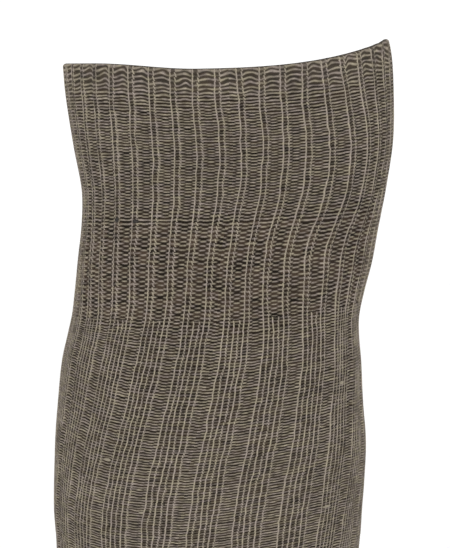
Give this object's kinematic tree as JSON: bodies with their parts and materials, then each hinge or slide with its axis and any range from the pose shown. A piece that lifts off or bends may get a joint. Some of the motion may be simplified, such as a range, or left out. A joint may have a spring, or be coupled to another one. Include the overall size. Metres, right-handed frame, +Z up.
{
  "type": "long sock",
  "caption": "Long ribbed knit sock in worn form, with a turned welt above the knee, a calf-length ribbed leg, a heel pocket and a closed toe.",
  "frame": {"origin": "middle of the narrow place below the knee, where the sock grips the leg and is held up", "axes": "+Z up the leg to the open top, +X forwards to the toes, +Y to the sock's left side"},
  "size_m": [0.2518, 0.1168, 0.4915],
  "materials": {
    "welt_yarn": "matt knit, double single-rib welt",
    "cuff_yarn": "matt knit, open single rib",
    "leg_yarn": "matt knit, rib of three and one",
    "instep_yarn": "matt knit, rib of three and one",
    "heel_yarn": "matt plain knit",
    "sole_yarn": "matt plain knit",
    "toe_yarn": "matt plain knit"
  },
  "bodies": {
    "root": {"welt": "welt_yarn", "cuff": "cuff_yarn", "leg": "leg_yarn", "instep": "instep_yarn", "heel": "heel_yarn", "sole": "sole_yarn", "toe": "toe_yarn"}
  },
  "joints": []
}
